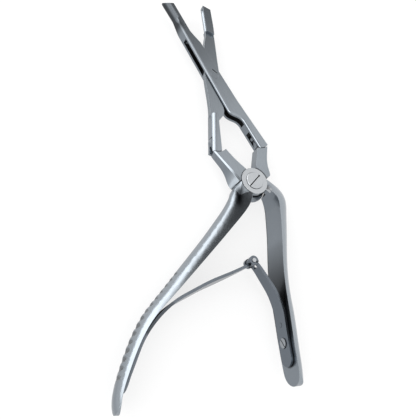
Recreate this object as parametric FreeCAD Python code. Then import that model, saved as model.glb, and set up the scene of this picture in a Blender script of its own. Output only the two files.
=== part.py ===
"""Nasal septum forceps with a double-action linkage, lying flat, in millimetres.

+Z is the axis of the main joint, +Y runs from the main joint to the jaws and +X is to the right.
The origin is on the main joint's axis, at the rear face of the lap joint.
"""
import os
from math import atan2, cos, degrees, hypot, radians, sin

import FreeCAD, Part
from FreeCAD import Vector

os.makedirs("parts", exist_ok=True)

# Reach of the handles from the main joint, and of the jaws from their own joint
left_handle_reach = 106.35
right_handle_reach = 82.92
jaw_reach = 40.5

# Main lap joint
half_thickness = 3.0
lap_play = 0.05
boss_radius = 6.0
lobe_radius = 7.4
lobe_top_radius = 6.5
disc_play = 0.3
main_axis = (0.0, 0.0)

# Main screw
head_radius = 3.85
head_seat = 1.5
head_stand = 0.4
head_chamfer = 0.15
head_play = 0.06
shank_radius = 2.0
shank_play = 0.03
slot_width = 0.45
slot_depth = 0.5
slot_angle = 33.0
lock_radius = 0.42
lock_depth = 0.9

# Arms and jaws along Z
blade_depth = 5.0
plate_depth = 2.3
plate_play = 0.15
edge_bevel = 0.6
jaw_edge_round = 1.0
arm_edge_round = 2.1

# Link joints
left_joint = (-11.1, 20.9)
right_joint = (10.5, 21.5)
jaw_joint = (0.0, 53.6)
left_heel_radius = 5.2
right_heel_radius = 6.2
heel_play = 0.3
eye_radius = 2.2
eye_play = 0.35
neck_width = 3.0
link_pin_radius = 1.0
link_pin_top = 4.7
jaw_pin_radius = 1.7
pin_play = 0.03
open_pin_play = 0.15
fork_rise = 0.9

# Jaw heads
cup_radius = 1.7
cup_sink_share = 0.74
cup_length = 13.5
cup_tip_wall = 1.3
slot_tip_wall = 15.7
slot_wall_end = 18.3
slot_corner = -5.3
bridge_top = 28.3
back_run_in = 9.0
tip_lean = 2.5
tip_lean_depth = 3.2
face_foot = 2.7
face_slope = 2.6
small_cup_radius = 1.1
small_cup_height = 4.2

# Stake mark beside the jaw pin
mark_start = (-0.1, 56.9)
mark_end = (1.7, 54.5)
mark_width = 0.45
mark_depth = 0.6

# Handles along Z
handle_half_depth = 6.2
round_bulge = 4 / 3
back_slope_drop = 0.42
groove_count = 15
groove_pitch = 3.0
groove_radius = 1.35
groove_sink = 0.5
groove_start = 49.5
handle_end_round = 5.3

# Springs
leaf_thickness = 1.1
leaf_width = 7.0
leaf_seat_gap = 0.12
leaf_end_way = 7.0
knuckle = (-13.5, -33.0)
leaf_top_width = 4.8
barrel_radius = 1.9
barrel_width = 5.6
knuckle_pin_radius = 0.85
knuckle_pin_play = 0.05
knuckle_pin_stand = 0.25
tongue_width = 2.2
tongue_play = 0.2

# Spring screws and locating pins
spring_screw_head = 1.9
spring_screw_rise = 0.35
spring_screw_sink = 0.8
spring_screw_shank = 1.1
left_screw_depth = 1.6
right_screw_depth = 2.3
spring_screw_slot = 0.4
spring_slot_angle = 20.0
left_screw_way = 7.5
right_screw_way = 9.0
locating_pin_radius = 0.8
locating_pin_rise = 0.05
locating_pin_depth = 1.6
locating_pin_spacing = 6.8
fastener_play = 0.03
hole_run_out = 0.1

middle = half_thickness
blade_low = middle - blade_depth / 2
blade_high = middle + blade_depth / 2
plate_low = middle - plate_depth / 2
plate_high = middle + plate_depth / 2
slot_low = plate_low - plate_play
slot_high = plate_high + plate_play
reach = 40.0
drawn_jaw_reach = 40.5

# Sections of the handles as drawn, from the joint outward: inner face, crest of the back, share of half depth
left_handle_drawn = [
    ((-1.8, -4.2), (-8.6, 0.1), 0.50),
    ((-4.6, -7.2), (-11.2, -2.7), 0.66),
    ((-7.6, -10.4), (-13.6, -5.3), 0.84),
    ((-11.6, -13.6), (-16.4, -8.1), 0.94),
    ((-18.5, -18.2), (-22.2, -12.9), 1.0),
    ((-26.1, -23.2), (-29.4, -18.5), 1.0),
    ((-39.7, -31.9), (-42.5, -28.0), 1.0),
    ((-53.5, -40.6), (-55.8, -37.5), 0.97),
    ((-60.0, -44.8), (-62.2, -42.2), 0.93),
    ((-66.6, -50.9), (-68.9, -49.2), 0.89),
    ((-74.0, -60.5), (-76.1, -59.3), 0.82),
    ((-77.5, -66.0), (-79.3, -65.2), 0.80),
    ((-79.0, -71.2), (-80.3, -70.9), 0.76),
]
right_handle_drawn = [
    ((2.6, -3.2), (8.3, 0.8), 0.46),
    ((4.6, -5.4), (10.9, -2.6), 0.60),
    ((5.8, -8.0), (12.5, -6.3), 0.84),
    ((5.8, -11.6), (12.6, -11.2), 0.98),
    ((4.6, -15.8), (10.2, -17.5), 1.0),
    ((1.0, -26.2), (5.6, -28.2), 1.0),
    ((-4.0, -39.5), (0.3, -41.0), 1.0),
    ((-6.9, -50.3), (-2.5, -51.5), 0.97),
    ((-10.3, -65.0), (-5.9, -66.2), 0.92),
    ((-12.1, -73.4), (-8.0, -74.5), 0.88),
    ((-12.9, -77.6), (-9.2, -78.6), 0.86),
    ((-13.6, -81.8), (-11.2, -82.4), 0.84),
]


def at(point, height=0.0):
    """The place of a plan point at a height."""
    return Vector(point[0], point[1], height)


def toward(start, end):
    """The unit direction from one plan point to another."""
    length = hypot(end[0] - start[0], end[1] - start[1])
    return ((end[0] - start[0]) / length, (end[1] - start[1]) / length)


def moved(point, direction, length):
    """A plan point moved along a direction."""
    return (point[0] + direction[0] * length, point[1] + direction[1] * length)


def edge_through(points):
    """A straight edge through two places or a smooth one through more."""
    if len(points) == 2:
        return Part.LineSegment(*points).toShape()
    curve = Part.BSplineCurve()
    curve.interpolate(points)
    return curve.toShape()


def wire_of(stretches, height):
    """A closed outline of stretches that follow each other, at a height."""
    edges = [edge_through([at(point, height) for point in stretch]) for stretch in stretches]
    return Part.Wire(edges)


def plate(stretches, low, high):
    """A flat piece of one outline."""
    return Part.Face(wire_of(stretches, low)).extrude(Vector(0, 0, high - low))


def slanted(low_stretches, high_stretches, low, high):
    """A flat piece whose sides lean from one outline to another."""
    wires = [wire_of(low_stretches, low), wire_of(high_stretches, high)]
    return Part.makeLoft(wires, True, True)


def disc(centre, radius, low, high):
    """An upright cylinder."""
    return Part.makeCylinder(radius, high - low, at(centre, low))


def neck(start, end, width, low, high):
    """A straight bar in plan from one point to another."""
    side = toward(start, end)
    side = (-side[1] * width / 2, side[0] * width / 2)
    corners = [
        (start[0] + side[0], start[1] + side[1]),
        (start[0] - side[0], start[1] - side[1]),
        (end[0] - side[0], end[1] - side[1]),
        (end[0] + side[0], end[1] + side[1]),
    ]
    ring = [(corners[i], corners[(i + 1) % 4]) for i in range(4)]
    return plate(ring, low, high)


def reaching(sections, reach_wanted):
    """Handle sections moved out along both plan directions until the last one is at a distance."""
    end = sections[-1][0]
    grow = reach_wanted / hypot(end[0], end[1])
    return [(scaled(inner, grow), scaled(crest, grow), share) for inner, crest, share in sections]


def scaled(point, grow):
    """A plan point moved away from the main axis."""
    return (point[0] * grow, point[1] * grow)


def stretched(stretches):
    """A jaw's outline with all beyond the jaw joint drawn out to the jaws' reach."""
    return [[lengthened(point) for point in stretch] for stretch in stretches]


def lengthened(point):
    """A jaw's drawn plan point, moved along Y for the jaws' reach if it lies beyond their joint."""
    if point[1] <= jaw_joint[1]:
        return point
    return (point[0], jaw_joint[1] + (point[1] - jaw_joint[1]) * jaw_reach / drawn_jaw_reach)


def bar(sections):
    """A handle with a flat inner face and a half-round back, lofted through its sections."""
    wires = []
    for inner, crest, share in sections:
        half = handle_half_depth * share
        top = at(inner, middle + half)
        foot = at(inner, middle - half)
        bulge = (at(crest) - at(inner)) * round_bulge
        drop = Vector(0, 0, half * back_slope_drop)
        back = Part.BezierCurve()
        back.setPoles([top, top + bulge - drop, foot + bulge + drop, foot])
        wires.append(Part.Wire([Part.LineSegment(foot, top).toShape(), back.toShape()]))
    return Part.makeLoft(wires, True, False)


def rail(sections, side):
    """Plan points along a handle: side 0 is the inner face, side 1 the crest of the back."""
    return [section[side] for section in sections]


def along_rail(points, distance):
    """The place, and the direction onward, at a distance along straight pieces."""
    for start, end in zip(points, points[1:]):
        length = hypot(end[0] - start[0], end[1] - start[1])
        if distance <= length:
            way = toward(start, end)
            return moved(start, way, distance), way
        distance -= length
    way = toward(points[-2], points[-1])
    return moved(points[-1], way, distance), way


def rail_frame(handle, reversed_rail, distance, inward_turn):
    """A seat on a handle's inner face: its place, the way along it and the way off it."""
    points = rail(handle, 0)
    if reversed_rail:
        points = points[::-1]
    place, way = along_rail(points, distance)
    off = (-way[1] * inward_turn, way[0] * inward_turn)
    return place, way, off


def seat_cylinder(seat, off, radius, start, end):
    """A cylinder square to a handle's inner face, between two distances off that face."""
    base = at(moved(seat, off, start), middle)
    return Part.makeCylinder(radius, end - start, base, Vector(off[0], off[1], 0))


def fastener_hole(seat, radius, depth):
    """The blind hole of a spring screw or locating pin in a handle."""
    return seat_cylinder(seat[0], seat[2], radius + fastener_play, -depth - hole_run_out, 1)


left_handle_sections = reaching(left_handle_drawn, left_handle_reach)
right_handle_sections = reaching(right_handle_drawn, right_handle_reach)

# Seats of the screws and pins that hold the springs
left_screw_seat = rail_frame(left_handle_sections, True, left_screw_way + locating_pin_spacing, -1)
left_pin_seat = rail_frame(left_handle_sections, True, left_screw_way + 2 * locating_pin_spacing, -1)
right_screw_seat = rail_frame(right_handle_sections, True, right_screw_way + locating_pin_spacing, 1)
right_pin_seat = rail_frame(right_handle_sections, True, right_screw_way + 2 * locating_pin_spacing, 1)


def front_arm():
    """The arm left of the boss, whose left wall leans outward behind."""
    right_edge = [(-1.0, 4.9), (-1.6, 5.9), (-4.8, 10.5), (-7.4, 15.3), (-9.2, 18.9)]
    behind = [
        right_edge,
        [(-9.2, 18.9), (-13.6, 18.9)],
        [(-13.6, 18.9), (-13.2, 16.4), (-10.5, 9.2), (-9.9, 5.5), (-9.9, 2.2), (-8.9, -0.5)],
        [(-8.9, -0.5), (-1.0, 1.5)],
        [(-1.0, 1.5), (-1.0, 4.9)],
    ]
    before = [
        right_edge,
        [(-9.2, 18.9), (-15.1, 18.2)],
        [(-15.1, 18.2), (-13.9, 15.9), (-11.0, 10.2), (-9.2, 6.8), (-7.6, 3.8), (-6.6, 1.3)],
        [(-6.6, 1.3), (-1.0, 1.5)],
        [(-1.0, 1.5), (-1.0, 4.9)],
    ]
    arm = slanted(behind, before, blade_low, blade_high)
    left_edges = [edge for edge in arm.Edges if edge.BoundBox.XMax < -6.5 and edge.Length > 9]
    arm = arm.makeChamfer(edge_bevel, [edge for edge in left_edges if level_at(edge, blade_high)])
    return arm.cut(disc(left_joint, left_heel_radius + heel_play, blade_low - 1, blade_high + 1))


def rear_arm():
    """The arm right of the boss."""
    outline = [
        [(3.0, 4.0), (4.1, 7.4), (6.5, 12.3), (8.9, 17.6)],
        [(8.9, 17.6), (14.0, 17.6)],
        [(14.0, 17.6), (13.2, 15.3), (11.7, 12.0), (10.2, 8.3), (9.5, 5.0), (9.3, 2.8), (8.9, 1.5)],
        [(8.9, 1.5), (3.0, -0.4)],
        [(3.0, -0.4), (3.0, 4.0)],
    ]
    arm = plate(outline, blade_low, blade_high)
    return arm.cut(disc(right_joint, right_heel_radius + heel_play, blade_low - 1, blade_high + 1))


def tongue(joint, foot, hole_radius):
    """The thin eye at an arm's end, which turns inside a fork."""
    eye = disc(joint, eye_radius, plate_low, plate_high)
    eye = eye.fuse(neck(joint, foot, neck_width, plate_low, plate_high))
    return eye.cut(disc(joint, hole_radius, plate_low - 1, plate_high + 1))


def front_lever():
    """Front half of the lap joint, left arm and right handle."""
    low = half_thickness + lap_play
    boss = disc(main_axis, boss_radius, low, 2 * half_thickness)
    handle = bar(right_handle_sections)
    handle = handle.cut(end_corners(right_handle_sections, 1, 0.0, handle_end_round))
    handle = handle.cut(disc(main_axis, lobe_radius + disc_play, middle - reach, low))
    handle = handle.cut(disc(main_axis, boss_radius - 0.5, 2 * half_thickness, reach))
    arm = front_arm()
    arm = arm.cut(disc(main_axis, lobe_radius + disc_play, blade_low - 1, low))
    body = handle.fuse([boss, arm, tongue(left_joint, (-11.0, 13.6), link_pin_radius + pin_play)])
    body = body.cut(disc(main_axis, shank_radius + shank_play, 0, 2 * half_thickness + 1))
    seat = 2 * half_thickness - head_seat
    body = body.cut(disc(main_axis, head_radius + head_play, seat, 2 * half_thickness + 1))
    body = body.cut(fastener_hole(right_screw_seat, spring_screw_shank, right_screw_depth))
    body = body.cut(fastener_hole(right_pin_seat, locating_pin_radius, locating_pin_depth))
    return body.removeSplitter()


def rear_lever():
    """Rear half of the lap joint, right arm and left handle with its finger grooves."""
    lobe = Part.makeCone(lobe_radius, lobe_top_radius, half_thickness)
    handle = bar(left_handle_sections)
    handle = handle.cut(end_corners(left_handle_sections, -1, 0.0, handle_end_round))
    handle = handle.cut(disc(main_axis, boss_radius + disc_play, half_thickness, reach))
    handle = handle.cut(disc(main_axis, lobe_radius - 0.5, middle - reach, 0))
    handle = handle.cut(finger_grooves())
    arm = rear_arm()
    arm = arm.cut(disc(main_axis, boss_radius + disc_play, half_thickness, blade_high + 1))
    head = handle_head().cut(disc(main_axis, boss_radius + disc_play, half_thickness, reach))
    body = handle.fuse([lobe, head, arm, tongue(right_joint, (10.4, 13.6), link_pin_radius + open_pin_play)])
    body = body.cut(disc(main_axis, shank_radius + shank_play, -1, half_thickness + 1))
    body = body.cut(fastener_hole(left_screw_seat, spring_screw_shank, left_screw_depth))
    body = body.cut(fastener_hole(left_pin_seat, locating_pin_radius, locating_pin_depth))
    return body.removeSplitter()


def handle_head():
    """The head of the left handle beside the boss, close under the left arm, which slopes down in front."""
    behind = head_outline((-11.2, -3.5), (-10.4, -2.3), (-9.1, -1.0), (-4.0, 0.0))
    widest = head_outline((-11.6, -3.3), (-10.6, -2.0), (-9.2, -0.6), (-4.0, 0.6))
    before = head_outline((-9.2, -4.9), (-7.9, -2.5), (-6.1, 0.8), (-4.0, 0.9))
    rear = slanted(behind, widest, 0.0, middle)
    return rear.fuse(slanted(widest, before, middle, 2 * half_thickness))


def head_outline(low, side, top, inner):
    """One level of the handle's head: its curved left side, its top edge and its end in the joint."""
    joint_top = (-1.8, -4.2)
    joint_low = (-5.2, -8.0)
    ends = [(top, inner), (inner, joint_top), (joint_top, joint_low), (joint_low, low)]
    return [[low, side, top], *ends]


def finger_grooves():
    """Round grooves across the back of the left handle, one pitch apart."""
    points = rail(left_handle_sections, 1)
    tools = []
    for count in range(groove_count):
        place, way = along_rail(points, groove_start + count * groove_pitch)
        outward = (way[1], -way[0])
        centre = moved(place, outward, groove_radius - groove_sink)
        tools.append(disc(centre, groove_radius, middle - reach, middle + reach))
    return Part.makeCompound(tools)


def pivot_screw():
    """Flush slotted head over the boss and a shank down to the rear face."""
    head_low = 2 * half_thickness - head_seat + lap_play
    head_high = 2 * half_thickness + head_stand
    screw = disc(main_axis, head_radius, head_low, head_high)
    screw = screw.makeChamfer(head_chamfer, [screw.Edges[0]])
    screw = screw.fuse(disc(main_axis, shank_radius, 0, head_low))
    far = (-head_radius * cos(radians(slot_angle)), -head_radius * sin(radians(slot_angle)))
    near = (0.86 * head_radius * cos(radians(slot_angle)), 0.86 * head_radius * sin(radians(slot_angle)))
    far = moved(far, toward(near, far), 1)
    screw = screw.cut(neck(far, near, slot_width, head_high - slot_depth, head_high + 1))
    screw = screw.cut(disc(near, lock_radius, head_high - lock_depth, head_high + 1))
    return screw.removeSplitter()


def cup(root, tip, way_in, radius, height):
    """The long round hollow in a jaw's gripping face, near its tip."""
    way = toward(root, tip)
    end = moved(tip, way, -cup_tip_wall - radius)
    end = moved(end, way_in, (cup_sink_share - 1) * radius)
    start = moved(end, way, radius * 2 - cup_length)
    length = hypot(end[0] - start[0], end[1] - start[1])
    body = Part.makeCylinder(radius, length, at(start, height), at(way))
    body = body.fuse(Part.makeSphere(radius, at(start, height)))
    return body.fuse(Part.makeSphere(radius, at(end, height)))


def outer_jaw():
    """Slotted bar with a forked heel at the right link joint and the left-hand jaw."""
    waist = (6.4, 28.4)
    shoulder = (0.2, 35.6)
    back_root = lengthened((-8.6, 81.4))
    tip_left = lengthened((-12.1, 96.0))
    tip_right = lengthened((-8.1, 96.6))
    face_root = lengthened((-4.3, 78.1))
    mouth = lengthened((-1.0, 71.6))
    knee = (6.8, 39.6)
    heel_right = (14.2, 15.0)
    outline = [
        [(9.6, 15.0), waist],
        [waist, (5.8, 30.0), (4.5, 31.4), (2.8, 32.4), (1.2, 33.6), shoulder],
        [shoulder, back_root],
        [back_root, lengthened((-9.6, 86.0)), lengthened((-10.7, 90.6)), tip_left],
        [tip_left, tip_right],
        [tip_right, face_root],
        [face_root, lengthened((-3.2, 75.8)), mouth],
        [mouth, knee],
        [knee, heel_right],
        [heel_right, (9.6, 15.0)],
    ]
    jaw = plate(outline, blade_low, blade_high)
    jaw = jaw.common(heel_and_beyond(right_joint, right_heel_radius))
    bevelled = [edge for edge in jaw.Edges if left_rim(edge, [waist, shoulder, back_root], blade_high)]
    jaw = jaw.makeFillet(jaw_edge_round, bevelled)
    jaw = jaw.cut(round_back(back_root, tip_left)).cut(slanted_end(tip_right))
    jaw = jaw.cut(cup(face_root, tip_right, (-1.0, 0.0), cup_radius, middle))
    swept = plate(square((slot_corner + reach, jaw_joint[1] + reach), reach), slot_low, slot_high)
    slot = disc(jaw_joint, jaw_reach - slot_tip_wall, slot_low, slot_high).common(swept)
    slot = slot.fuse(disc(jaw_joint, jaw_reach - slot_wall_end, slot_low, slot_high))
    slot = slot.cut(plate(square((jaw_joint[0], jaw_joint[1] - reach), reach), slot_low - 1, slot_high + 1))
    fork = plate(square((right_joint[0], right_joint[1] + fork_rise - reach), reach), slot_low, slot_high)
    fork = fork.fuse(disc(right_joint, eye_radius + eye_play, slot_low, slot_high))
    jaw = jaw.cut(slot.fuse(lower_slot())).cut(fork)
    jaw = jaw.cut(disc(right_joint, link_pin_radius + pin_play, blade_low - 1, link_pin_top + pin_play))
    jaw = jaw.cut(neck(mark_start, mark_end, mark_width, blade_high - mark_depth, blade_high + 1))
    return jaw.cut(disc(jaw_joint, jaw_pin_radius + pin_play, blade_low - 1, blade_high + 1))


def slanted_end(tip):
    """What leaves a jaw's end face leaning, longer behind than before."""
    side = [
        Vector(-reach, tip[1] - tip_lean, blade_high),
        Vector(-reach, tip[1], blade_high - tip_lean_depth),
        Vector(-reach, tip[1] + tip_lean, blade_high - tip_lean_depth),
        Vector(-reach, tip[1] + tip_lean, blade_high + 1),
        Vector(-reach, tip[1] - tip_lean, blade_high + 1),
    ]
    return Part.Face(Part.makePolygon(side + [side[0]])).extrude(Vector(2 * reach, 0, 0))


def lower_slot():
    """The lower run of the long slot, down to the bridge above the heel."""
    half = (jaw_joint[1] - bridge_top) / 2
    return plate(square((jaw_joint[0], bridge_top + half), half), slot_low, slot_high)


def square(centre, half):
    """Corners of an upright square in plan, as stretches."""
    x, y = centre
    corners = [(x - half, y - half), (x + half, y - half), (x + half, y + half), (x - half, y + half)]
    return [(corners[i], corners[(i + 1) % 4]) for i in range(4)]


def heel_and_beyond(joint, radius):
    """What a link may fill: all above its joint, and a disc about the joint below."""
    above = plate(square((joint[0], joint[1] + 2 * reach), 2 * reach), blade_low - 1, blade_high + 1)
    return above.fuse(disc(joint, radius, blade_low - 1, blade_high + 1))


def left_rim(edge, corners, height):
    """True for a level edge at a height that ends at two of the given corners."""
    ends = [vertex.Point for vertex in edge.Vertexes]
    if len(ends) != 2 or any(abs(end.z - height) > 0.01 for end in ends):
        return False
    return all(any(hypot(end.x - c[0], end.y - c[1]) < 0.05 for c in corners) for end in ends)


def round_back(root, tip):
    """The corners that a half-round back leaves off a jaw, with a run-in at its root."""
    way = toward(root, tip)
    half = blade_depth / 2
    start = moved(root, way, -back_run_in / 2)
    length = hypot(tip[0] - root[0], tip[1] - root[1]) + 2 * back_run_in
    waste = Part.makeBox(2 * half, length, blade_depth + 2, Vector(-half, 0, -half - 1))
    core = Part.makeCone(half * 1.6, half, back_run_in, Vector(half, 0, 0), Vector(0, 1, 0))
    core = core.fuse(Part.makeCylinder(half, length, Vector(half, back_run_in, 0), Vector(0, 1, 0)))
    waste = waste.cut(core)
    waste.rotate(Vector(0, 0, 0), Vector(0, 0, 1), degrees(atan2(way[1], way[0])) - 90)
    waste.translate(at(start, middle))
    return waste


def inner_jaw():
    """Forked arm at the left link joint, thin plate through the slot and the right-hand jaw."""
    tip_left = lengthened((7.7, 93.5))
    tip_right = lengthened((11.1, 91.2))
    face_root = lengthened((4.6, 78.6))
    back_root = lengthened((8.0, 76.5))
    heel_left = (-14.9, 14.6)
    arm_outline = [
        [heel_left, (-7.9, 34.8)],
        [(-7.9, 34.8), (-6.4, 34.3)],
        [(-6.4, 34.3), (-5.5, 33.2), (-5.6, 31.8), (-6.4, 29.6)],
        [(-6.4, 29.6), (-10.3, 14.6)],
        [(-10.3, 14.6), heel_left],
    ]
    arm = plate(arm_outline, blade_low, blade_high)
    arm = arm.common(heel_and_beyond(left_joint, left_heel_radius))
    left_edges = [edge for edge in arm.Edges if edge.BoundBox.XMax < -7.8 and edge.Length > 9]
    arm = arm.makeFillet(arm_edge_round, [edge for edge in left_edges if level_at(edge, blade_high)])
    fork = plate(square((left_joint[0], left_joint[1] + fork_rise - reach), reach), slot_low, slot_high)
    fork = fork.fuse(disc(left_joint, eye_radius + eye_play, slot_low, slot_high))
    arm = arm.cut(fork)
    plate_outline = [
        [(-8.6, 34.2), (-7.4, 38.3), (-5.4, 48.0), (-4.2, 54.0), (-2.6, 60.0), (0.4, 68.6)],
        [(0.4, 68.6), (2.3, 73.2), (4.35, 77.3)],
        [(4.35, 77.3), (4.75, 79.4)],
        [(4.75, 79.4), (9.0, 79.4)],
        [(9.0, 79.4), (8.1, 75.0), (6.5, 68.0), (4.1, 57.4)],
        [(4.1, 57.4), (3.2, 52.6), (2.0, 46.8), (0.3, 41.0), (-0.7, 37.2)],
        [(-0.7, 37.2), (-1.1, 35.2), (-2.8, 32.9), (-5.6, 31.9)],
        [(-5.6, 31.9), (-7.6, 31.4)],
        [(-7.6, 31.4), (-8.6, 34.2)],
    ]
    thin = plate(stretched(plate_outline), plate_low, plate_high)
    head_outline = [
        [face_root, tip_left],
        [tip_left, tip_right],
        [tip_right, lengthened((9.9, 85.0)), lengthened((8.7, 79.2)), back_root],
        [back_root, lengthened((6.8, 77.6)), face_root],
    ]
    head = plate(head_outline, blade_low, blade_high)
    head = head.cut(under_face(face_root, tip_left))
    head = head.cut(cup(face_root, tip_left, (1.0, 0.0), small_cup_radius, small_cup_height))
    jaw = thin.fuse([arm, head])
    jaw = jaw.cut(disc(left_joint, link_pin_radius + pin_play, blade_low - 1, link_pin_top + pin_play))
    jaw = jaw.cut(disc(jaw_joint, jaw_pin_radius + pin_play, blade_low - 1, blade_high + 1))
    return jaw.removeSplitter()


def under_face(root, tip):
    """What slopes away behind the narrow gripping face of the right-hand jaw."""
    way = toward(root, tip)
    inward = (way[1], -way[0])
    start = moved(root, way, -face_slope)
    section = [
        at(moved(start, inward, -1), face_foot),
        at(start, face_foot),
        at(moved(start, inward, face_slope), blade_low),
        at(moved(start, inward, face_slope), blade_low - 1),
        at(moved(start, inward, -1), blade_low - 1),
    ]
    return Part.Face(Part.makePolygon(section + [section[0]])).extrude(at(way) * reach)


def level_at(edge, height):
    """True for an edge that lies at one height."""
    box = edge.BoundBox
    return abs(box.ZMin - height) < 0.01 and abs(box.ZMax - height) < 0.01


def flush_pin(centre, radius, top):
    """A pin ground flush with the rear faces of the blades."""
    return disc(centre, radius, blade_low, top)


def leaf(path, width_share):
    """A spring leaf of even thickness along a plan path, as wide as the share says."""
    left = []
    right = []
    for index, point in enumerate(path):
        before = path[max(index - 1, 0)]
        after = path[min(index + 1, len(path) - 1)]
        way = toward(before, after)
        left.append(moved(point, (-way[1], way[0]), leaf_thickness / 2))
        right.append(moved(point, (way[1], -way[0]), leaf_thickness / 2))
    outline = [left, [left[-1], right[-1]], right[::-1], [right[0], left[0]]]
    half = leaf_width * width_share / 2
    return plate(outline, middle - half, middle + half)


def seated_path(handle, turn, first, last, step):
    """Plan points of a leaf's middle where it lies on a handle's inner face."""
    points = []
    distance = first
    while distance <= last:
        place, _, off = rail_frame(handle, True, distance, turn)
        points.append(moved(place, off, leaf_seat_gap + leaf_thickness / 2))
        distance += step
    return points


def leaf_holes(screw_seat, pin_seat):
    """Room in a leaf for its screw, the screw's sunk head and its locating pin."""
    play = 3 * fastener_play
    sink = leaf_seat_gap + leaf_thickness - spring_screw_sink - fastener_play
    room = seat_cylinder(screw_seat[0], screw_seat[2], spring_screw_shank + play, -1, 4)
    room = room.fuse(seat_cylinder(screw_seat[0], screw_seat[2], spring_screw_head + play, sink, 4))
    return room.fuse(seat_cylinder(pin_seat[0], pin_seat[2], locating_pin_radius + play, -1, 4))


def end_corners(handle, turn, distance, half):
    """The corners that a round end of a half width leaves off, at a distance from a handle's end."""
    place, way, off = rail_frame(handle, True, distance + half, turn)
    waste = Part.makeBox(3 * half, 4 * half, 4 * half, Vector(-3 * half, -2 * half, -2 * half))
    waste = waste.cut(Part.makeCylinder(half, 4 * half, Vector(0, 0, -2 * half)))
    frame = FreeCAD.Matrix(
        way[0], 0, off[0], place[0],
        way[1], 0, off[1], place[1],
        0, -turn, 0, middle,
        0, 0, 0, 1,
    )
    waste.Placement = FreeCAD.Placement(frame)
    return waste


def left_spring():
    """Long leaf from the left handle to the knuckle, with a narrow eye between the cheeks."""
    seated = seated_path(left_handle_sections, -1, leaf_end_way, 27.5, 5.0)
    free = [(-49.6, -40.9), (-44.0, -39.5), (-37.0, -37.9), (-29.0, -36.6), (-21.0, -35.2), (-17.5, -34.5)]
    body = leaf(seated + free, 1.0)
    body = body.cut(left_taper())
    ending = [(-22.0, -35.38), (-19.0, -34.8), (-16.6, -34.3), (-14.4, -33.9)]
    body = body.fuse(leaf(ending, tongue_width / leaf_width))
    eye_low = middle - tongue_width / 2
    eye_high = middle + tongue_width / 2
    body = body.fuse(disc(knuckle, barrel_radius - 0.3, eye_low, eye_high))
    body = body.cut(disc(knuckle, knuckle_pin_radius + knuckle_pin_play, eye_low - 1, eye_high + 1))
    body = body.cut(leaf_holes(left_screw_seat, left_pin_seat))
    body = body.cut(end_corners(left_handle_sections, -1, leaf_end_way, leaf_width / 2))
    return body.cut(bar(left_handle_sections)).removeSplitter()


def left_taper():
    """The long leaf's two corners that are cut off where it narrows to its eye."""
    return taper((-34.0, -50.0), (-16.0, -50.0), Vector(0, 30, 0), tongue_width)


def right_taper():
    """The short leaf's two corners that are cut off where it narrows to the barrel."""
    return taper((-25.0, -55.0), (-25.0, -34.0), Vector(30, 0, 0), leaf_top_width)


def taper(start, end, sweep, end_width):
    """What narrows a leaf along Z between two plan points, swept across the leaf."""
    tools = []
    for side in (-1, 1):
        corners = [
            at(start, middle + side * leaf_width / 2),
            at(end, middle + side * end_width / 2),
            at(end, middle + side * leaf_width),
            at(start, middle + side * leaf_width),
        ]
        face = Part.Face(Part.makePolygon(corners + [corners[0]]))
        tools.append(face.extrude(sweep))
    return Part.makeCompound(tools)


def right_spring():
    """Short leaf from the right handle up to the barrel of the knuckle."""
    seated = seated_path(right_handle_sections, 1, leaf_end_way, 27.0, 5.0)
    free = [(-8.55, -49.2), (-8.9, -46.0), (-9.9, -42.0), (-11.0, -38.0), (-11.85, -35.4), (-12.6, -33.9)]
    body = leaf(seated + free, 1.0).cut(right_taper())
    low = middle - barrel_width / 2
    high = middle + barrel_width / 2
    body = body.fuse(disc(knuckle, barrel_radius, low, high))
    gap_low = middle - tongue_width / 2 - tongue_play
    gap_high = middle + tongue_width / 2 + tongue_play
    body = body.cut(disc(knuckle, barrel_radius + 1.2, gap_low, gap_high))
    body = body.cut(disc(knuckle, knuckle_pin_radius + knuckle_pin_play, low - 1, high + 1))
    body = body.cut(leaf_holes(right_screw_seat, right_pin_seat))
    body = body.cut(end_corners(right_handle_sections, 1, leaf_end_way, leaf_width / 2))
    return body.cut(bar(right_handle_sections)).removeSplitter()


def knuckle_pin():
    """The cross pin on which the two leaves turn."""
    half = barrel_width / 2 + knuckle_pin_stand
    return disc(knuckle, knuckle_pin_radius, middle - half, middle + half)


def spring_screw(seat, depth):
    """Slotted screw whose head sits in a leaf and holds it on its handle."""
    place, _, off = seat
    low = leaf_seat_gap + leaf_thickness - spring_screw_sink
    high = leaf_seat_gap + leaf_thickness + spring_screw_rise
    screw = seat_cylinder(place, off, spring_screw_head, low, high)
    screw = screw.fuse(seat_cylinder(place, off, spring_screw_shank, -depth, low))
    slot = Part.makeBox(spring_screw_slot, 3 * spring_screw_head, spring_screw_sink)
    slot.translate(Vector(-spring_screw_slot / 2, -1.5 * spring_screw_head, 0))
    slot.rotate(Vector(0, 0, 0), Vector(0, 0, 1), spring_slot_angle)
    turn = FreeCAD.Rotation(Vector(0, 0, 1), Vector(off[0], off[1], 0))
    floor = at(moved(place, off, high - spring_screw_sink / 2), middle)
    slot.Placement = FreeCAD.Placement(floor, turn).multiply(slot.Placement)
    return screw.cut(slot)


def locating_pin(seat):
    """Small round pin that keeps a leaf from turning about its screw."""
    place, _, off = seat
    top = leaf_seat_gap + leaf_thickness + locating_pin_rise
    return seat_cylinder(place, off, locating_pin_radius, -locating_pin_depth, top)


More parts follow.
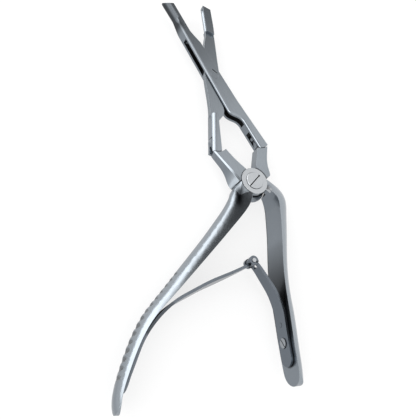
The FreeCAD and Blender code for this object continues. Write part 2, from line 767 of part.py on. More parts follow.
pieces = {
    "front_lever": front_lever(),
    "rear_lever": rear_lever(),
    "pivot_screw": pivot_screw(),
    "outer_jaw": outer_jaw(),
    "inner_jaw": inner_jaw(),
    "jaw_pivot_pin": flush_pin(jaw_joint, jaw_pin_radius, blade_high),
    "left_link_pin": flush_pin(left_joint, link_pin_radius, link_pin_top),
    "right_link_pin": flush_pin(right_joint, link_pin_radius, link_pin_top),
    "left_spring": left_spring(),
    "right_spring": right_spring(),
    "knuckle_pin": knuckle_pin(),
    "left_spring_screw": spring_screw(left_screw_seat, left_screw_depth),
    "right_spring_screw": spring_screw(right_screw_seat, right_screw_depth),
    "left_spring_pin": locating_pin(left_pin_seat),
    "right_spring_pin": locating_pin(right_pin_seat),
}

for name, shape in pieces.items():
    box = shape.BoundBox
    print(
        name, "solids", len(shape.Solids), "valid", shape.isValid(), "volume %.1f" % shape.Volume,
        "x %.1f..%.1f y %.1f..%.1f z %.1f..%.1f" % (box.XMin, box.XMax, box.YMin, box.YMax, box.ZMin, box.ZMax),
    )
    shape.exportStep("parts/" + name + ".step")
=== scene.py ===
"""Nasal septum forceps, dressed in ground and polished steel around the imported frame."""
import math

import bmesh
import bpy
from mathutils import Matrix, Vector


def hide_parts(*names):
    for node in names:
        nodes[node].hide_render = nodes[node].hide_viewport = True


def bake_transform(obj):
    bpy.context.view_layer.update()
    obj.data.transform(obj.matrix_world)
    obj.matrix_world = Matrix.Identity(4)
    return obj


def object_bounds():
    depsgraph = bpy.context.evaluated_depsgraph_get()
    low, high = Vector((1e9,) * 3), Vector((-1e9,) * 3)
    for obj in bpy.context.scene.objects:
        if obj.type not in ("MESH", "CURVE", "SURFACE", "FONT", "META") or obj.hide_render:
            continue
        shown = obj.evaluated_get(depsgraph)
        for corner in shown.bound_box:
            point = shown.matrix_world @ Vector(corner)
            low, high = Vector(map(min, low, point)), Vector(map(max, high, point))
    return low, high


bl_info = {
    "name": "Nasal septum forceps",
    "version": (1, 0, 0),
    "blender": (4, 5, 0),
    "location": "View3D > Sidebar > Forceps",
    "description": "Dresses the forceps in steel and sets up its studio",
    "category": "Object",
}

MM = 0.001
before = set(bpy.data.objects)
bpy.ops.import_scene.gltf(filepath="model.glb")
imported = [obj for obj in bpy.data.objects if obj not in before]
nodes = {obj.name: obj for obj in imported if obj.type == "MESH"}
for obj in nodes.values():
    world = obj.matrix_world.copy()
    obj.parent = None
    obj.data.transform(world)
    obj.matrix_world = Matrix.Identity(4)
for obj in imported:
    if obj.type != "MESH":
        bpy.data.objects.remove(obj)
cad_box = [list(corner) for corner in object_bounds()]

# Pieces that share a steel
PINS = ("jaw_pivot_pin", "left_link_pin", "right_link_pin")
SPRING_PINS = ("left_spring_pin", "right_spring_pin")
SPRING_SCREWS = ("left_spring_screw", "right_spring_screw")

# Grinding pattern: streak density along the grain, smudges, pits and how much each one counts
STREAKS_ALONG = 220.0
SMUDGE_SCALE = 140.0
SMUDGE_LEVEL = 0.07
PIT_SCALE = 2600.0
PIT_LEVEL = 0.5
ROUGHNESS_SWING = -0.12
BUMP_STRENGTH = 0.2
BUMP_HEIGHT = 0.02 * MM
EDGE_SAMPLES = 6

# Painted shade in crevices: darker from one level of openness to another; the shade shift moves both levels
CREVICE_REACH = 1.3 * MM
CREVICE_SAMPLES = 16
CREVICE_START = 0.9
CREVICE_FULL = 0.5
CREVICE_SHIFT_GAIN = 4
CREVICE_SHADE_COLOUR = (0.02, 0.022, 0.025)
CREVICE_ROUGHNESS = 0.5

# Upright side faces get painted shade, darker than the flats, and are duller
SIDE_START = 0.5
SIDE_FULL = 0.1
SIDE_SHARE = 0.5
SIDE_SHADE_COLOUR = (0.11, 0.13, 0.155)
SIDE_ROUGHNESS = 0.32

# Faces of the front lever that look to the left, which take the painted dark reflection inside the handle
LEFTWARD_START = -0.6
LEFTWARD_FULL = -0.9

# Places of painted shade, painted shadow and the boss top: centre, half size, turn and softness, in
# millimetres and degrees
INSIDE_SHADE = ((-4.0, -54.0, 3.0), (8.0, 18.0, 8.0), 8.0, (1.0, 14.0, 1.0))
BOSS_TOP = ((0.0, 0.0, 6.3), (6.4, 6.4, 0.6), 0.0, (0.1, 0.1, 0.1))
LOBE_SHADE = ((-10.3, -6.2, 5.0), (1.3, 5.5, 3.0), -29.0, (1.2, 2.5, 1.5))
LONG_SLOT = ((0.0, 51.0, 3.0), (30.0, 23.0, 1.34), 0.0, (0.1, 0.1, 0.04))
FORK_SLOT = ((10.0, 15.4, 3.0), (12.0, 8.6, 1.34), 0.0, (0.1, 0.1, 0.04))
BACK_SHADE = ((-11.8, 88.0, 3.0), (2.8, 8.5, 6.0), 13.0, (2.0, 2.5, 1.0))
SLIT_SHADOW = ((0.8, 55.7, 5.2), (0.24, 1.5, 0.5), 37.0, (0.05, 0.05, 0.05))
SCREW_SLOT = ((0.0, 0.0, 5.8), (3.9, 0.13, 0.5), 33.0, (0.05, 0.04, 0.04))
LOCK_DOT = ((2.78, 1.8, 5.8), (0.38, 0.38, 0.5), 33.0, (0.08, 0.08, 0.04))
RECESS_ROUGHNESS = 0.55
NARROW_RECESS_ROUGHNESS = 0.6

# Corners nearer than this are one corner
WELD_REACH = 0.002 * MM
FLAT_ANGLE = 0.6
CRISP_ANGLE = 28
SHADING_WEIGHT = 100

# Lines from root to free end of each leaf, in millimetres
LEFT_BEND = ((-49, -41, 3), (-18, -34.6, 3))
RIGHT_BEND = ((-5, -56, 3), (-4, -36, 3))

# Widened middle of the left leaf, in millimetres along its length and about one height
LEFT_SPREAD = 0.5
SPREAD_START = -64.0
SPREAD_RISE = 12.0
SPREAD_END = -13.5
SPREAD_FALL = 5.0
SPREAD_HEIGHT = 2.0

# Bright and dark sides of the surroundings: azimuth, height, inner and outer reach, in degrees
FAR_SIDE = (115, 12, 14, 46)
LEFT_SIDE = (190, 34, 12, 32)
TOP_SIDE = (160, 78, 8, 18)
RIGHT_SIDE = (68, 30, 14, 30)

# Floor and camera
FLOOR_SIZE = 6.0
FLOOR_GAP = 0.02 * MM
FLOOR_ROUGHNESS = 0.9
FLOOR_GLOW = 0.75
EYE_PLACE = (-124.583, -68.270, 175.554)
EYE_TURN = (25.5826, -23.3553, -19.5065)
SENSOR_WIDTH = 36.0
NEAREST = 0.01
FARTHEST = 20.0

# Socket numbers of a Mix node: first input, second input and result
MIX_SOCKETS = {"FLOAT": (2, 3, 0), "RGBA": (6, 7, 2)}


class ForcepsFinish(bpy.types.PropertyGroup):
    """Colours and surface values of the steel."""

    lever_colour: bpy.props.FloatVectorProperty(
        name="Lever colour",
        description="Colour of the polished levers",
        subtype="COLOR",
        default=(0.30, 0.33, 0.36),
    )
    jaw_colour: bpy.props.FloatVectorProperty(
        name="Jaw colour",
        description="Colour of the satin ground jaws",
        subtype="COLOR",
        default=(0.31, 0.34, 0.37),
    )
    spring_colour: bpy.props.FloatVectorProperty(
        name="Spring colour",
        description="Colour of the hardened spring leaves",
        subtype="COLOR",
        default=(0.16, 0.18, 0.205),
    )
    screw_colour: bpy.props.FloatVectorProperty(
        name="Screw colour",
        description="Colour of the turned screws",
        subtype="COLOR",
        default=(0.50, 0.52, 0.54),
    )
    # Painted shadow: the recess colour paints the shadow in the slots of the outer jaw, the slit beside the
    # long slot and the slot and lock dot of the main screw
    recess_shadow_colour: bpy.props.FloatVectorProperty(
        name="Recess colour",
        description="Colour of the dark oxide left in slots and joints",
        subtype="COLOR",
        default=(0.012, 0.013, 0.014),
    )
    # Painted shade: the shade colour paints shade and dark reflections onto the inside of the front handle,
    # the lobe of the rear lever and the back of the outer jaw
    shade_colour: bpy.props.FloatVectorProperty(
        name="Shade colour",
        description="Colour of the places that the polishing wheel leaves dark",
        subtype="COLOR",
        default=(0.022, 0.025, 0.028),
    )
    polish: bpy.props.FloatProperty(
        name="Polish roughness",
        description="Roughness of the levers",
        default=0.2,
        min=0.0,
        max=1.0,
        subtype="FACTOR",
    )
    satin: bpy.props.FloatProperty(
        name="Satin roughness",
        description="Roughness of the jaws, springs and screws",
        default=0.24,
        min=0.0,
        max=1.0,
        subtype="FACTOR",
    )
    edge_round: bpy.props.FloatProperty(
        name="Edge round",
        description="Radius of the broken edges of levers and jaws",
        default=0.16 * MM,
        min=0.0,
        unit="LENGTH",
    )
    leaf_edge: bpy.props.FloatProperty(
        name="Leaf edge",
        description="Radius of the broken edges of the spring leaves",
        default=0.08 * MM,
        min=0.0,
        unit="LENGTH",
    )
    pin_edge: bpy.props.FloatProperty(
        name="Pin edge",
        description="Radius of the broken edges of pins and screws",
        default=0.06 * MM,
        min=0.0,
        unit="LENGTH",
    )


class ForcepsStudio(bpy.types.PropertyGroup):
    """Floor, light and camera."""

    floor_colour: bpy.props.FloatVectorProperty(
        name="Floor colour",
        description="Colour of the pale floor",
        subtype="COLOR",
        default=(0.96, 0.96, 0.96),
    )
    surroundings: bpy.props.FloatProperty(
        name="Surroundings",
        description="Strength of the plain pale surroundings",
        default=1.1,
        min=0.0,
    )
    window: bpy.props.FloatProperty(
        name="Bright sides",
        description="Strength of the soft bright sides, behind the jaws and to the left",
        default=3.2,
        min=0.0,
    )
    flag: bpy.props.FloatProperty(
        name="Dark sides",
        description="Strength of the soft dark sides, overhead and to the right",
        default=0.1,
        min=0.0,
    )
    lens: bpy.props.FloatProperty(
        name="Lens",
        description="Focal length of the camera in millimetres",
        default=44.94,
        min=1.0,
    )


def add_node(tree, kind, x=0.0, y=0.0, **values):
    """A node with its properties or unlinked inputs set."""
    node = tree.nodes.new(kind)
    node.location = (x, y)
    for name, value in values.items():
        if name in node.inputs:
            node.inputs[name].default_value = value
        else:
            setattr(node, name, value)
    return node


def new_group(name, inputs, outputs):
    """An empty shader node group with its sockets and its two end nodes."""
    group = bpy.data.node_groups.new(name, "ShaderNodeTree")
    for socket, kind in inputs:
        group.interface.new_socket(socket, in_out="INPUT", socket_type=kind)
    for socket, kind in outputs:
        group.interface.new_socket(socket, in_out="OUTPUT", socket_type=kind)
    start = add_node(group, "NodeGroupInput", -1200, 0)
    end = add_node(group, "NodeGroupOutput", 900, 0)
    return group, start, end


def feed(tree, socket, value):
    """Gives an input a plain value, or a link where the value is a node's output."""
    if isinstance(value, bpy.types.NodeSocket):
        tree.links.new(value, socket)
    else:
        socket.default_value = value


def arithmetic(tree, operation, first, second, x=0.0, y=0.0):
    """A Math node of two values, each a node's output or a number."""
    node = add_node(tree, "ShaderNodeMath", x, y, operation=operation)
    feed(tree, node.inputs[0], first)
    feed(tree, node.inputs[1], second)
    return node.outputs[0]


def mixed(tree, kind, share, first, second, x=0.0, y=0.0):
    """A Mix node that goes from one value or colour to another as its share goes to one."""
    first_socket, second_socket, result = MIX_SOCKETS[kind]
    node = add_node(tree, "ShaderNodeMix", x, y, data_type=kind)
    feed(tree, node.inputs[0], share)
    feed(tree, node.inputs[first_socket], first)
    feed(tree, node.inputs[second_socket], second)
    return node.outputs[result]


def smooth_step(tree, value, start, full, x=0.0, y=0.0):
    """A soft rise from nought where the value is start to one where it is full."""
    node = add_node(tree, "ShaderNodeMapRange", x, y, interpolation_type="SMOOTHSTEP")
    node.inputs["From Min"].default_value = start
    node.inputs["From Max"].default_value = full
    tree.links.new(value, node.inputs["Value"])
    return node.outputs["Result"]


def centred(tree, value, strength, x=0.0, y=0.0):
    """A pattern value of 0 to 1 brought to -1 to 1 and multiplied by a strength."""
    spread = arithmetic(tree, "MULTIPLY_ADD", value, 2.0, x, y)
    spread.node.inputs[2].default_value = -1.0
    return arithmetic(tree, "MULTIPLY", spread, strength, x + 160, y)


def ground_steel_group():
    """Fine streaks of the grinding, soft smudges and small pits: colour, roughness and height."""
    group, start, end = new_group(
        "Ground steel",
        [
            ("Colour", "NodeSocketColor"),
            ("Roughness", "NodeSocketFloat"),
            ("Turn", "NodeSocketFloat"),
            ("Along", "NodeSocketFloat"),
            ("Across", "NodeSocketFloat"),
            ("Streaks", "NodeSocketFloat"),
            ("Smudges", "NodeSocketFloat"),
        ],
        [
            ("Colour", "NodeSocketColor"),
            ("Roughness", "NodeSocketFloat"),
            ("Height", "NodeSocketFloat"),
        ],
    )
    link = group.links.new
    place = add_node(group, "ShaderNodeTexCoord", -1200, -300)
    turned = add_node(group, "ShaderNodeVectorRotate", -1000, -200, rotation_type="Z_AXIS")
    link(place.outputs["Object"], turned.inputs["Vector"])
    link(start.outputs["Turn"], turned.inputs["Angle"])
    scale = add_node(group, "ShaderNodeCombineXYZ", -1000, 0)
    link(start.outputs["Across"], scale.inputs["X"])
    link(start.outputs["Along"], scale.inputs["Y"])
    link(start.outputs["Across"], scale.inputs["Z"])
    stretched = add_node(group, "ShaderNodeVectorMath", -800, -100, operation="MULTIPLY")
    link(turned.outputs["Vector"], stretched.inputs[0])
    link(scale.outputs["Vector"], stretched.inputs[1])
    noise = "ShaderNodeTexNoise"
    streaks = add_node(group, noise, -600, 0, Scale=1.0, Detail=3.0, Roughness=0.6)
    link(stretched.outputs["Vector"], streaks.inputs["Vector"])
    smudges = add_node(group, noise, -600, -300, Scale=SMUDGE_SCALE, Detail=4.0, Roughness=0.55)
    link(place.outputs["Object"], smudges.inputs["Vector"])
    pits = add_node(group, noise, -600, -600, Scale=PIT_SCALE, Detail=2.0, Roughness=0.5)
    link(place.outputs["Object"], pits.inputs["Vector"])
    streak = centred(group, streaks.outputs["Fac"], start.outputs["Streaks"], -400, 0)
    smudge = centred(group, smudges.outputs["Fac"], start.outputs["Smudges"], -400, -300)
    pit = centred(group, pits.outputs["Fac"], PIT_LEVEL, -400, -600)
    both = arithmetic(group, "ADD", streak, smudge, 0, -100)
    tint = add_node(group, "ShaderNodeHueSaturation", 380, 200)
    link(start.outputs["Colour"], tint.inputs["Color"])
    link(arithmetic(group, "ADD", both, 1.0, 180, 100), tint.inputs["Value"])
    swing = arithmetic(group, "MULTIPLY", both, ROUGHNESS_SWING, 180, -100)
    rough = arithmetic(group, "ADD", start.outputs["Roughness"], swing, 380, -100)
    link(tint.outputs["Color"], end.inputs["Colour"])
    link(rough, end.inputs["Roughness"])
    link(arithmetic(group, "ADD", streak, pit, 180, -400), end.inputs["Height"])
    return group


def place_mask_group():
    """One inside a box that stands turned about the upright, and nought outside, with a soft edge."""
    group, start, end = new_group(
        "Place mask",
        [
            ("Centre", "NodeSocketVector"),
            ("Half size", "NodeSocketVector"),
            ("Turn", "NodeSocketFloat"),
            ("Softness", "NodeSocketVector"),
        ],
        [("Mask", "NodeSocketFloat")],
    )
    link = group.links.new
    place = add_node(group, "ShaderNodeTexCoord", -1200, -300)
    away = add_node(group, "ShaderNodeVectorMath", -1000, -100, operation="SUBTRACT")
    link(place.outputs["Object"], away.inputs[0])
    link(start.outputs["Centre"], away.inputs[1])
    turned = add_node(group, "ShaderNodeVectorRotate", -800, -100, rotation_type="Z_AXIS")
    link(away.outputs["Vector"], turned.inputs["Vector"])
    link(start.outputs["Turn"], turned.inputs["Angle"])
    folded = add_node(group, "ShaderNodeVectorMath", -600, -100, operation="ABSOLUTE")
    link(turned.outputs["Vector"], folded.inputs[0])
    inward = add_node(group, "ShaderNodeVectorMath", -400, -100, operation="SUBTRACT")
    link(start.outputs["Half size"], inward.inputs[0])
    link(folded.outputs["Vector"], inward.inputs[1])
    share = add_node(group, "ShaderNodeVectorMath", -200, -100, operation="DIVIDE")
    link(inward.outputs["Vector"], share.inputs[0])
    link(start.outputs["Softness"], share.inputs[1])
    parts = add_node(group, "ShaderNodeSeparateXYZ", 0, -100)
    link(share.outputs["Vector"], parts.inputs["Vector"])
    walls = [
        smooth_step(group, parts.outputs[axis], -1.0, 1.0, 180, -260 * row)
        for row, axis in enumerate("XYZ")
    ]
    level = arithmetic(group, "MULTIPLY", walls[0], walls[1], 420, 0)
    link(arithmetic(group, "MULTIPLY", level, walls[2], 600, 0), end.inputs["Mask"])
    return group


def group_node(tree, name, x, y, **values):
    """A node group placed in a tree with its inputs set; spaces in their names are underscores here."""
    node = add_node(tree, "ShaderNodeGroup", x, y, node_tree=bpy.data.node_groups[name])
    for socket, value in values.items():
        node.inputs[socket.replace("_", " ")].default_value = value
    return node


def place_mask(tree, centre, half, turn, soft, x=-900.0, y=-500.0):
    """The mask of one turned box; centre, half size and softness are in millimetres, the turn in degrees."""
    node = group_node(
        tree,
        "Place mask",
        x,
        y,
        Centre=Vector(centre) * MM,
        Half_size=Vector(half) * MM,
        Turn=math.radians(-turn),
        Softness=Vector(soft) * MM,
    )
    return node.outputs["Mask"]


def facing_mask(tree, axis, start, full, both_ways, x, y):
    """A mask by how far the surface looks along an axis, or along it both ways."""
    surface = add_node(tree, "ShaderNodeNewGeometry", x - 600, y)
    parts = add_node(tree, "ShaderNodeSeparateXYZ", x - 400, y)
    tree.links.new(surface.outputs["Normal"], parts.inputs["Vector"])
    look = parts.outputs[axis]
    if both_ways:
        look = arithmetic(tree, "ABSOLUTE", look, 0.0, x - 200, y)
    return smooth_step(tree, look, start, full, x, y)


def lay_over(material, mask, colour, roughness=None, x=-250.0):
    """Lays a colour, and a roughness where one is given, over the surface where the mask is one."""
    tree = material.node_tree
    shader = tree.nodes["Principled BSDF"]
    base = shader.inputs["Base Color"]
    before = base.links[0].from_socket
    tree.links.new(mixed(tree, "RGBA", mask, before, (*colour, 1.0), x, 300), base)
    if roughness is not None:
        rough = shader.inputs["Roughness"]
        before = rough.links[0].from_socket
        tree.links.new(mixed(tree, "FLOAT", mask, before, roughness, x, 60), rough)


def steel(name, colour, roughness, edge_round, turn=0.0, across=5200.0, streaks=0.12, crevice_shade_shift=0.0):
    """A steel with broken edges and grinding streaks, turned in degrees from the object's length, with
    painted shade on its upright sides and in its crevices.
    """
    material = bpy.data.materials.new(name)
    material.use_nodes = True
    tree = material.node_tree
    shader = tree.nodes["Principled BSDF"]
    shader.inputs["Metallic"].default_value = 1.0
    ground = group_node(
        tree,
        "Ground steel",
        -600,
        200,
        Colour=(*colour, 1.0),
        Roughness=roughness,
        Turn=math.radians(-turn),
        Along=STREAKS_ALONG,
        Across=across,
        Streaks=streaks,
        Smudges=SMUDGE_LEVEL,
    )
    bump = add_node(tree, "ShaderNodeBump", -250, -200, Strength=BUMP_STRENGTH, Distance=BUMP_HEIGHT)
    edge = add_node(tree, "ShaderNodeBevel", -450, -400, Radius=edge_round, samples=EDGE_SAMPLES)
    tree.links.new(edge.outputs["Normal"], bump.inputs["Normal"])
    tree.links.new(ground.outputs["Height"], bump.inputs["Height"])
    tree.links.new(bump.outputs["Normal"], shader.inputs["Normal"])
    tree.links.new(ground.outputs["Roughness"], shader.inputs["Roughness"])
    tree.links.new(ground.outputs["Colour"], shader.inputs["Base Color"])
    # Painted shade on the upright side faces
    upright = facing_mask(tree, "Z", SIDE_START, SIDE_FULL, True, -700, 900)
    side = arithmetic(tree, "MULTIPLY", upright, SIDE_SHARE, -500, 900)
    lay_over(material, side, SIDE_SHADE_COLOUR, SIDE_ROUGHNESS, -450)
    # Painted shade where the surroundings are hidden, in grooves, slots and joints
    crevice = add_node(tree, "ShaderNodeAmbientOcclusion", -900, 500, Distance=CREVICE_REACH)
    crevice.samples = CREVICE_SAMPLES
    start = CREVICE_START + crevice_shade_shift
    full = CREVICE_FULL + CREVICE_SHIFT_GAIN * crevice_shade_shift
    crevice_shade = smooth_step(tree, crevice.outputs["AO"], start, full, -700, 500)
    lay_over(material, crevice_shade, CREVICE_SHADE_COLOUR, CREVICE_ROUGHNESS, -400)
    return material


def dress(piece, material):
    """Merges a piece's corners, keeps its edges crisp and gives it a material."""
    piece.data.materials.clear()
    piece.data.materials.append(material)
    piece.data.shade_smooth()
    weld = piece.modifiers.new("Weld", "WELD")
    weld.merge_threshold = WELD_REACH
    flatten = piece.modifiers.new("Flat faces", "DECIMATE")
    flatten.decimate_type = "DISSOLVE"
    flatten.angle_limit = math.radians(FLAT_ANGLE)
    crisp = piece.modifiers.new("Crisp edges", "EDGE_SPLIT")
    crisp.split_angle = math.radians(CRISP_ANGLE)
    even = piece.modifiers.new("Even shading", "WEIGHTED_NORMAL")
    even.mode = "FACE_AREA_WITH_ANGLE"
    even.weight = SHADING_WEIGHT
    even.keep_sharp = True


def bending_leaf(name, lever, start, end, spread=0.0):
    """A copy of a spring leaf that takes the leaf's place; the spread widens its middle."""
    mesh = nodes[name].data.copy()
    mesh.name = name + "_leaf"
    shape = bmesh.new()
    shape.from_mesh(mesh)
    bmesh.ops.remove_doubles(shape, verts=shape.verts, dist=WELD_REACH)
    for corner in shape.verts:
        along = corner.co.x / MM
        run_in = min(max((along - SPREAD_START) / SPREAD_RISE, 0), 1)
        run_out = min(max((SPREAD_END - along) / SPREAD_FALL, 0), 1)
        corner.co.z += (corner.co.z - SPREAD_HEIGHT * MM) * spread * run_in * run_out
    shape.to_mesh(mesh)
    shape.free()
    leaf = bpy.data.objects.new(name + "_leaf", mesh)
    bpy.context.scene.collection.objects.link(leaf)
    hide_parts(name)
    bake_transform(leaf)
    return leaf


class FORCEPS_OT_surfaces(bpy.types.Operator):
    """Dress the two crossed levers in polished steel, with a painted dark reflection inside the front handle
    and painted shade on the lobe of the rear lever
    """

    bl_idname = "forceps.surfaces"
    bl_label = "Make the surface patterns"

    def execute(self, context):
        ground_steel_group()
        place_mask_group()
        return {"FINISHED"}


class FORCEPS_OT_levers(bpy.types.Operator):
    """Dress the two crossed levers in polished steel"""

    bl_idname = "forceps.levers"
    bl_label = "Dress the levers"

    def execute(self, context):
        finish = context.scene.forceps_finish
        look = (finish.lever_colour, finish.polish, finish.edge_round)
        front = steel("Front lever steel", *look, turn=4)
        tree = front.node_tree
        # Painted dark reflection on the inner face of the front handle, toward the spring
        leftward = facing_mask(tree, "X", LEFTWARD_START, LEFTWARD_FULL, False, -900, -250)
        inside = place_mask(tree, *INSIDE_SHADE)
        inside = arithmetic(tree, "MULTIPLY", inside, leftward, -500, -300)
        lay_over(front, inside, finish.shade_colour)
        boss = place_mask(tree, *BOSS_TOP, y=-800)
        lay_over(front, boss, finish.screw_colour, finish.satin, -100)
        dress(nodes["front_lever"], front)
        rear = steel("Rear lever steel", *look, turn=-46, crevice_shade_shift=0.1)
        # Painted shade on the lobe of the rear lever, where its fillet faces away from the light
        lay_over(rear, place_mask(rear.node_tree, *LOBE_SHADE), finish.shade_colour)
        dress(nodes["rear_lever"], rear)
        return {"FINISHED"}


class FORCEPS_OT_jaws(bpy.types.Operator):
    """Dress the two jaws in satin steel, with painted shadow in the slots and painted shade on the back of
    the outer jaw
    """

    bl_idname = "forceps.jaws"
    bl_label = "Dress the jaws"

    def execute(self, context):
        finish = context.scene.forceps_finish
        look = (finish.jaw_colour, finish.satin, finish.edge_round)
        outer = steel("Outer jaw steel", *look, turn=11)
        tree = outer.node_tree
        # Painted shadow in the long slot and the forked slot of the outer jaw
        slot = place_mask(tree, *LONG_SLOT)
        lay_over(outer, slot, finish.recess_shadow_colour, RECESS_ROUGHNESS, -250)
        fork = place_mask(tree, *FORK_SLOT, y=-800)
        lay_over(outer, fork, finish.recess_shadow_colour, RECESS_ROUGHNESS, -100)
        # Painted shade on the rounded back of the outer jaw
        back = place_mask(tree, *BACK_SHADE, y=-1100)
        lay_over(outer, back, finish.shade_colour, None, 50)
        # Painted shadow in the slit beside the long slot
        slit_shadow = place_mask(tree, *SLIT_SHADOW, y=-1400)
        lay_over(outer, slit_shadow, finish.recess_shadow_colour, NARROW_RECESS_ROUGHNESS, 200)
        dress(nodes["outer_jaw"], outer)
        dress(nodes["inner_jaw"], steel("Inner jaw steel", *look, turn=-8, crevice_shade_shift=-0.08))
        return {"FINISHED"}


class FORCEPS_OT_pins(bpy.types.Operator):
    """Dress the flush pins of the jaws and links"""

    bl_idname = "forceps.pins"
    bl_label = "Dress the pins"

    def execute(self, context):
        finish = context.scene.forceps_finish
        look = (finish.jaw_colour, finish.satin, finish.pin_edge)
        pin = steel("Pin steel", *look, across=3000, streaks=0.04)
        for name in PINS:
            dress(nodes[name], pin)
        return {"FINISHED"}


class FORCEPS_OT_springs(bpy.types.Operator):
    """Dress the two spring leaves, their knuckle and their locating pins"""

    bl_idname = "forceps.springs"
    bl_label = "Dress the springs"

    def execute(self, context):
        finish = context.scene.forceps_finish
        look = (finish.spring_colour, finish.satin, finish.leaf_edge)
        left = steel("Left leaf steel", *look, turn=-60, streaks=0.16)
        dress(bending_leaf("left_spring", "rear_lever", *LEFT_BEND, LEFT_SPREAD), left)
        right = steel("Right leaf steel", *look, streaks=0.16)
        dress(bending_leaf("right_spring", "front_lever", *RIGHT_BEND), right)
        look = (finish.screw_colour, finish.polish, finish.pin_edge)
        dress(nodes["knuckle_pin"], steel("Knuckle steel", *look, across=2500))
        for name in SPRING_PINS:
            dress(nodes[name], right)
        return {"FINISHED"}


class FORCEPS_OT_screws(bpy.types.Operator):
    """Dress the main screw and the two spring screws in turned steel, with painted shadow in the main
    screw's slot and lock dot
    """

    bl_idname = "forceps.screws"
    bl_label = "Dress the screws"

    def execute(self, context):
        finish = context.scene.forceps_finish
        look = (finish.screw_colour, finish.satin, finish.pin_edge)
        turned = steel("Turned steel", *look, across=3600)
        for name in SPRING_SCREWS:
            dress(nodes[name], turned)
        main_steel = steel("Main screw steel", *look, across=3600)
        # Painted shadow in the slot and the lock dot of the main screw
        slot = place_mask(main_steel.node_tree, *SCREW_SLOT)
        lay_over(main_steel, slot, finish.recess_shadow_colour, NARROW_RECESS_ROUGHNESS)
        dot = place_mask(main_steel.node_tree, *LOCK_DOT)
        lay_over(main_steel, dot, finish.recess_shadow_colour, NARROW_RECESS_ROUGHNESS, -100)
        dress(nodes["pivot_screw"], main_steel)
        return {"FINISHED"}


def lobe(tree, level, azimuth, height, inner, outer, strength, row):
    """Brings the surroundings to a strength around one direction, with a soft edge; angles in degrees."""
    turn = math.radians(azimuth)
    rise = math.radians(height)
    middle = (math.cos(rise) * math.cos(turn), math.cos(rise) * math.sin(turn), math.sin(rise))
    y = -260 * row
    toward = add_node(tree, "ShaderNodeVectorMath", -900, y, operation="DOT_PRODUCT")
    tree.links.new(tree.nodes["Directions"].outputs["Generated"], toward.inputs[0])
    toward.inputs[1].default_value = middle
    start = math.cos(math.radians(outer))
    full = math.cos(math.radians(inner))
    soft = smooth_step(tree, toward.outputs["Value"], start, full, -700, y)
    return mixed(tree, "FLOAT", soft, level, strength, -450, y)


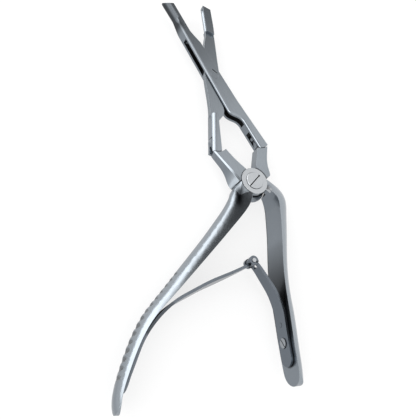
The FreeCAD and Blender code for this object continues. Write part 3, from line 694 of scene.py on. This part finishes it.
class FORCEPS_OT_stage(bpy.types.Operator):
    """Set up the pale floor, the soft surroundings and the camera"""

    bl_idname = "forceps.stage"
    bl_label = "Set up the studio"

    def execute(self, context):
        studio = context.scene.forceps_studio
        low = min(corner[2] for corner in cad_box)
        bpy.ops.mesh.primitive_plane_add(size=FLOOR_SIZE, location=(0, 0, low - FLOOR_GAP))
        floor = context.object
        floor.name = "floor"
        material = bpy.data.materials.new("Pale floor")
        material.use_nodes = True
        tree = material.node_tree
        shader = tree.nodes["Principled BSDF"]
        shader.inputs["Base Color"].default_value = (*studio.floor_colour, 1.0)
        shader.inputs["Roughness"].default_value = FLOOR_ROUGHNESS
        shader.inputs["Specular IOR Level"].default_value = 0.0
        glow = add_node(tree, "ShaderNodeEmission", 0, -400, Strength=1.0)
        ray = add_node(tree, "ShaderNodeLightPath", -400, 300).outputs
        seen = arithmetic(tree, "ADD", ray["Is Camera Ray"], ray["Is Glossy Ray"], -200, 300)
        seen = arithmetic(tree, "ADD", seen, ray["Is Transmission Ray"], 0, 300)
        seen = arithmetic(tree, "MULTIPLY", seen, FLOOR_GLOW, 160, 300)
        mix = add_node(tree, "ShaderNodeMixShader", 300, 0)
        tree.links.new(seen, mix.inputs[0])
        tree.links.new(shader.outputs["BSDF"], mix.inputs[1])
        tree.links.new(glow.outputs["Emission"], mix.inputs[2])
        tree.links.new(mix.outputs["Shader"], tree.nodes["Material Output"].inputs["Surface"])
        floor.data.materials.append(material)
        world = bpy.data.worlds.new("Studio")
        context.scene.world = world
        world.use_nodes = True
        tree = world.node_tree
        back = tree.nodes["Background"]
        back.inputs["Color"].default_value = (1, 1, 1, 1)
        add_node(tree, "ShaderNodeTexCoord", -1200, 0, name="Directions")
        level = lobe(tree, studio.surroundings, *FAR_SIDE, studio.window, 0)
        level = lobe(tree, level, *LEFT_SIDE, studio.window, 1)
        level = lobe(tree, level, *TOP_SIDE, studio.flag, 2)
        level = lobe(tree, level, *RIGHT_SIDE, studio.flag, 3)
        tree.links.new(level, back.inputs["Strength"])
        camera = bpy.data.cameras.new("Camera")
        camera.lens = studio.lens
        camera.sensor_width = SENSOR_WIDTH
        camera.clip_start = NEAREST
        camera.clip_end = FARTHEST
        eye = bpy.data.objects.new("Camera", camera)
        context.scene.collection.objects.link(eye)
        eye.location = Vector(EYE_PLACE) * MM
        eye.rotation_euler = [math.radians(angle) for angle in EYE_TURN]
        context.scene.camera = eye
        context.scene.view_settings.view_transform = "Standard"
        return {"FINISHED"}


class FORCEPS_PT_panel(bpy.types.Panel):
    """Lists the steps that dress the forceps"""

    bl_idname = "FORCEPS_PT_panel"
    bl_label = "Forceps"
    bl_space_type = "VIEW_3D"
    bl_region_type = "UI"
    bl_category = "Forceps"

    def draw(self, context):
        for step in STEPS:
            self.layout.operator(step.bl_idname)


STEPS = (
    FORCEPS_OT_surfaces,
    FORCEPS_OT_levers,
    FORCEPS_OT_jaws,
    FORCEPS_OT_pins,
    FORCEPS_OT_springs,
    FORCEPS_OT_screws,
    FORCEPS_OT_stage,
)
CLASSES = (ForcepsFinish, ForcepsStudio, *STEPS, FORCEPS_PT_panel)


def register():
    for cls in CLASSES:
        bpy.utils.register_class(cls)
    bpy.types.Scene.forceps_finish = bpy.props.PointerProperty(type=ForcepsFinish)
    bpy.types.Scene.forceps_studio = bpy.props.PointerProperty(type=ForcepsStudio)


def unregister():
    del bpy.types.Scene.forceps_studio
    del bpy.types.Scene.forceps_finish
    for cls in reversed(CLASSES):
        bpy.utils.unregister_class(cls)


def main():
    register()
    bpy.ops.forceps.surfaces()
    bpy.ops.forceps.levers()
    bpy.ops.forceps.jaws()
    bpy.ops.forceps.pins()
    bpy.ops.forceps.springs()
    bpy.ops.forceps.screws()
    bpy.ops.forceps.stage()


if __name__ == "__main__":
    main()
